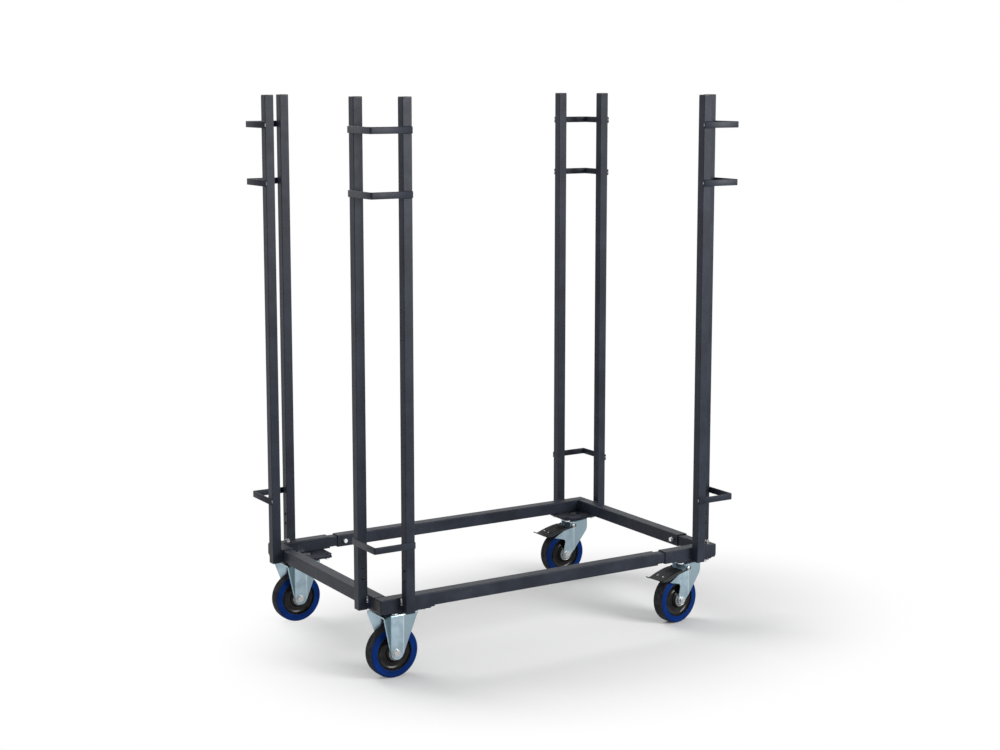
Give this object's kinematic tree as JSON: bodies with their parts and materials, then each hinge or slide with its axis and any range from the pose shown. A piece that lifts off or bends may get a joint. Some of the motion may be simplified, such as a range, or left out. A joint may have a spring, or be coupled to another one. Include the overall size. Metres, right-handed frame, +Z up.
{
  "type": "banquet table trolley",
  "caption": "Open steel trolley that carries a stack of folding banquet tables flat between strapped corner uprights, on swivel casters with foot brakes and a telescopic base.",
  "frame": {"origin": "on the floor under the middle of the trolley", "axes": "+X along the long side, towards the braked casters; +Y across, to the back; +Z up"},
  "size_m": [1.32, 0.86, 1.723],
  "materials": {
    "powder_coat": "anthracite powder coat, satin",
    "caster_zinc": "bright zinc plating with a faint blue tone",
    "plate_black": "dark coated steel plate",
    "bolt_zinc": "bright zinc-plated steel",
    "black_plastic": "moulded black plastic",
    "hub_plastic": "moulded black nylon",
    "blue_rubber": "blue elastic rubber, tread dusty grey brown",
    "pedal_black": "black coated pressed steel",
    "shoe_rubber": "black rubber"
  },
  "bodies": {
    "front_left_frame": {"front_rail": "powder_coat", "left_rail": "powder_coat", "corner_plate_front_left": "powder_coat", "post_sockets_front_left": "powder_coat", "posts_front_left": "powder_coat", "straps_front_left": "powder_coat", "end_caps_front_left": "black_plastic", "fasteners_front_left": "bolt_zinc", "caster_plate_front_left": "plate_black", "swivel_bearing_front_left": "bolt_zinc"},
    "back_left_frame": {"base_corner_back_left": "powder_coat", "inner_tubes_back_left": "powder_coat", "corner_plate_back_left": "powder_coat", "post_sockets_back_left": "powder_coat", "posts_back_left": "powder_coat", "straps_back_left": "powder_coat", "end_caps_back_left": "black_plastic", "fasteners_back_left": "bolt_zinc", "caster_plate_back_left": "plate_black", "swivel_bearing_back_left": "bolt_zinc"},
    "front_right_frame": {"base_corner_front_right": "powder_coat", "inner_tubes_front_right": "powder_coat", "corner_plate_front_right": "powder_coat", "post_sockets_front_right": "powder_coat", "posts_front_right": "powder_coat", "straps_front_right": "powder_coat", "end_caps_front_right": "black_plastic", "fasteners_front_right": "bolt_zinc", "caster_plate_front_right": "plate_black", "swivel_bearing_front_right": "bolt_zinc"},
    "back_right_frame": {"back_rail": "powder_coat", "right_rail": "powder_coat", "corner_plate_back_right": "powder_coat", "post_sockets_back_right": "powder_coat", "posts_back_right": "powder_coat", "straps_back_right": "powder_coat", "end_caps_back_right": "black_plastic", "fasteners_back_right": "bolt_zinc", "caster_plate_back_right": "plate_black", "swivel_bearing_back_right": "bolt_zinc"},
    "caster_front_left": {"fork_front_left": "caster_zinc", "axle_front_left": "bolt_zinc"},
    "caster_back_left": {"fork_back_left": "caster_zinc", "axle_back_left": "bolt_zinc"},
    "caster_front_right": {"fork_front_right": "caster_zinc", "axle_front_right": "bolt_zinc"},
    "caster_back_right": {"fork_back_right": "caster_zinc", "axle_back_right": "bolt_zinc"},
    "rolling_wheel_front_left": {"wheel_front_left": "hub_plastic", "tyre_front_left": "blue_rubber"},
    "rolling_wheel_back_left": {"wheel_back_left": "hub_plastic", "tyre_back_left": "blue_rubber"},
    "rolling_wheel_front_right": {"wheel_front_right": "hub_plastic", "tyre_front_right": "blue_rubber"},
    "rolling_wheel_back_right": {"wheel_back_right": "hub_plastic", "tyre_back_right": "blue_rubber"},
    "pedal_front_right": {"brake_pedal_front_right": "pedal_black", "brake_shoe_front_right": "shoe_rubber"},
    "pedal_back_right": {"brake_pedal_back_right": "pedal_black", "brake_shoe_back_right": "shoe_rubber"}
  },
  "joints": [
    {"name": "length_slide", "type": "slide", "parent": "front_left_frame", "child": "front_right_frame", "axis": [1, 0, 0], "range_m": [-0.025, 0.15]},
    {"name": "width_slide", "type": "slide", "parent": "front_left_frame", "child": "back_left_frame", "axis": [0, 1, 0], "range_m": [-0.04, 0.1]},
    {"name": "width_slide_right", "type": "slide", "parent": "front_right_frame", "child": "back_right_frame", "axis": [0, 1, 0], "range_m": [-0.04, 0.1]},
    {"name": "swivel_front_left", "type": "hinge", "parent": "front_left_frame", "child": "caster_front_left", "pos_m": [-0.512, -0.332, 0.19], "axis": [0, 0, 1], "continuous": true},
    {"name": "spin_front_left", "type": "hinge", "parent": "caster_front_left", "child": "rolling_wheel_front_left", "pos_m": [-0.555, -0.332, 0.08], "axis": [0, 1, 0], "continuous": true},
    {"name": "swivel_back_left", "type": "hinge", "parent": "back_left_frame", "child": "caster_back_left", "pos_m": [-0.512, 0.332, 0.19], "axis": [0, 0, 1], "continuous": true},
    {"name": "spin_back_left", "type": "hinge", "parent": "caster_back_left", "child": "rolling_wheel_back_left", "pos_m": [-0.555, 0.332, 0.08], "axis": [0, 1, 0], "continuous": true},
    {"name": "swivel_front_right", "type": "hinge", "parent": "front_right_frame", "child": "caster_front_right", "pos_m": [0.5495, -0.332, 0.19], "axis": [0, 0, 1], "continuous": true},
    {"name": "spin_front_right", "type": "hinge", "parent": "caster_front_right", "child": "rolling_wheel_front_right", "pos_m": [0.49987, -0.33809, 0.08], "axis": [-0.1219, 0.9925, 0], "continuous": true},
    {"name": "swivel_back_right", "type": "hinge", "parent": "back_right_frame", "child": "caster_back_right", "pos_m": [0.5495, 0.332, 0.19], "axis": [0, 0, 1], "continuous": true},
    {"name": "spin_back_right", "type": "hinge", "parent": "caster_back_right", "child": "rolling_wheel_back_right", "pos_m": [0.4995, 0.332, 0.08], "axis": [0, 1, 0], "continuous": true},
    {"name": "brake_front_right", "type": "hinge", "parent": "caster_front_right", "child": "pedal_front_right", "pos_m": [0.52667, -0.3348, 0.184], "axis": [0.1219, -0.9925, 0], "range_deg": [0, 10]},
    {"name": "brake_back_right", "type": "hinge", "parent": "caster_back_right", "child": "pedal_back_right", "pos_m": [0.5265, 0.332, 0.184], "axis": [0, -1, 0], "range_deg": [0, 10]}
  ],
  "couplings": [
    {"joint": "width_slide_right", "follows": "width_slide", "ratio": 1}
  ]
}
